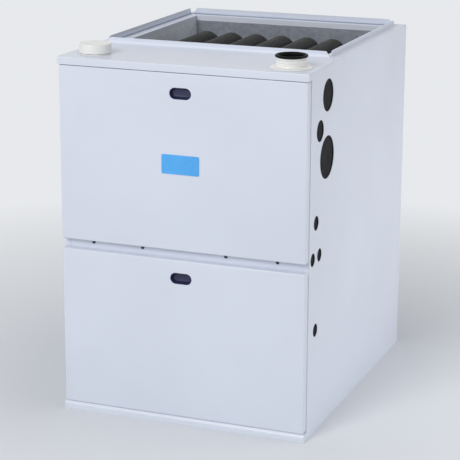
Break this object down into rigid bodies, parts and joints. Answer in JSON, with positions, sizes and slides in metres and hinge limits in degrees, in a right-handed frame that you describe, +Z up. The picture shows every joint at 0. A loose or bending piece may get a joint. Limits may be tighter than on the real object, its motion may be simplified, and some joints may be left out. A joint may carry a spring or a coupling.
{
  "type": "forced air gas furnace",
  "caption": "Upright sheet-metal furnace with two lift-off front doors, a flanged supply-air outlet over tubular heat exchangers, and round vent and intake collars on top.",
  "frame": {"origin": "centre of the casing footprint, on the floor", "axes": "+Z up, -Y out of the front doors, +X to the right-hand side as seen from the front"},
  "size_m": [0.622, 0.79, 0.9059],
  "materials": {
    "paint": "satin baked enamel, pale blue-grey white",
    "galvanised": "matt galvanised sheet",
    "aluminised": "dark heat-oxidised aluminised steel",
    "stainless": "plain stainless sheet",
    "aluminium": "bare fin stock",
    "black_plastic": "moulded, fine texture",
    "navy_plastic": "moulded, smooth",
    "white_pvc": "smooth moulded white",
    "sky_plate": "flat sky-blue plate, blank",
    "black_paint": "black satin",
    "cast_metal": "die-cast, fine grain",
    "ceramic": "unglazed",
    "red_plastic": "moulded",
    "board": "circuit board laminate with its sheet tray"
  },
  "bodies": {
    "cabinet": {"left_side_panel": "paint", "right_side_panel": "paint", "rear_panel": "paint", "top_front_panel": "paint", "base_pan": "paint", "blower_deck": "paint", "plenum_liner_left": "paint", "plenum_liner_right": "paint", "plenum_liner_rear": "paint", "vestibule_panel": "galvanised", "burner_box": "galvanised", "burner_rack": "galvanised", "blower_housing": "galvanised", "motor_mount": "galvanised", "heat_tube_1": "aluminised", "heat_tube_2": "aluminised", "heat_tube_3": "aluminised", "heat_tube_4": "aluminised", "heat_tube_5": "aluminised", "heat_tube_6": "aluminised", "transition_header": "stainless", "secondary_coil": "aluminium", "cold_header": "black_plastic", "rollout_switch": "black_plastic", "pressure_switch": "black_plastic", "inducer_housing": "black_plastic", "condensate_trap": "black_plastic", "door_switch": "black_plastic", "hole_plug_1": "black_plastic", "hole_plug_2": "black_plastic", "hole_plug_3": "black_plastic", "hole_plug_4": "black_plastic", "hole_plug_5": "black_plastic", "hole_plug_6": "black_plastic", "hole_plug_7": "black_plastic", "intake_pipe": "white_pvc", "vent_pipe": "white_pvc", "vent_collar": "white_pvc", "intake_collar": "white_pvc", "gas_manifold": "black_paint", "blower_motor": "black_paint", "rail_screw_1": "black_paint", "rail_screw_2": "black_paint", "rail_screw_3": "black_paint", "rail_screw_4": "black_paint", "gas_valve": "cast_metal", "inducer_motor": "cast_metal", "igniter": "ceramic", "control_board": "board"},
    "upper_door": {"upper_door_panel": "paint", "upper_pull_cup": "navy_plastic", "blank_plate": "sky_plate"},
    "lower_door": {"lower_door_panel": "paint", "lower_pull_cup": "navy_plastic"},
    "blower_rotor": {"blower_wheel": "galvanised"},
    "inducer_rotor": {"inducer_wheel": "black_plastic"},
    "gas_valve_knob": {"valve_knob": "black_plastic"},
    "rollout_reset": {"reset_button": "red_plastic"},
    "door_switch_pin": {"door_switch_plunger": "red_plastic"},
    "intake_closure": {"intake_cap": "white_pvc"}
  },
  "joints": [
    {"name": "upper_door_lift_off", "type": "slide", "parent": "cabinet", "child": "upper_door", "axis": [0, -1, 0], "range_m": [0, 0.3]},
    {"name": "lower_door_lift_off", "type": "slide", "parent": "cabinet", "child": "lower_door", "axis": [0, -1, 0], "range_m": [0, 0.3]},
    {"name": "blower_wheel_spin", "type": "hinge", "parent": "cabinet", "child": "blower_rotor", "pos_m": [0, 0.02, 0.2], "axis": [1, 0, 0], "continuous": true},
    {"name": "inducer_wheel_spin", "type": "hinge", "parent": "cabinet", "child": "inducer_rotor", "pos_m": [0.14, -0.2438, 0.56], "axis": [0, 1, 0], "continuous": true},
    {"name": "valve_knob_turn", "type": "hinge", "parent": "cabinet", "child": "gas_valve_knob", "pos_m": [-0.16, -0.335, 0.698], "axis": [0, -1, 0], "range_deg": [-90, 0]},
    {"name": "rollout_reset_press", "type": "slide", "parent": "cabinet", "child": "rollout_reset", "axis": [0, 1, 0], "range_m": [0, 0.0015], "stiffness_N_per_m": 400},
    {"name": "door_switch_press", "type": "slide", "parent": "cabinet", "child": "door_switch_pin", "axis": [0, 1, 0], "range_m": [0, 0.006], "stiffness_N_per_m": 300},
    {"name": "intake_cap_pull", "type": "slide", "parent": "cabinet", "child": "intake_closure", "axis": [0, 0, 1], "range_m": [0, 0.06]}
  ]
}
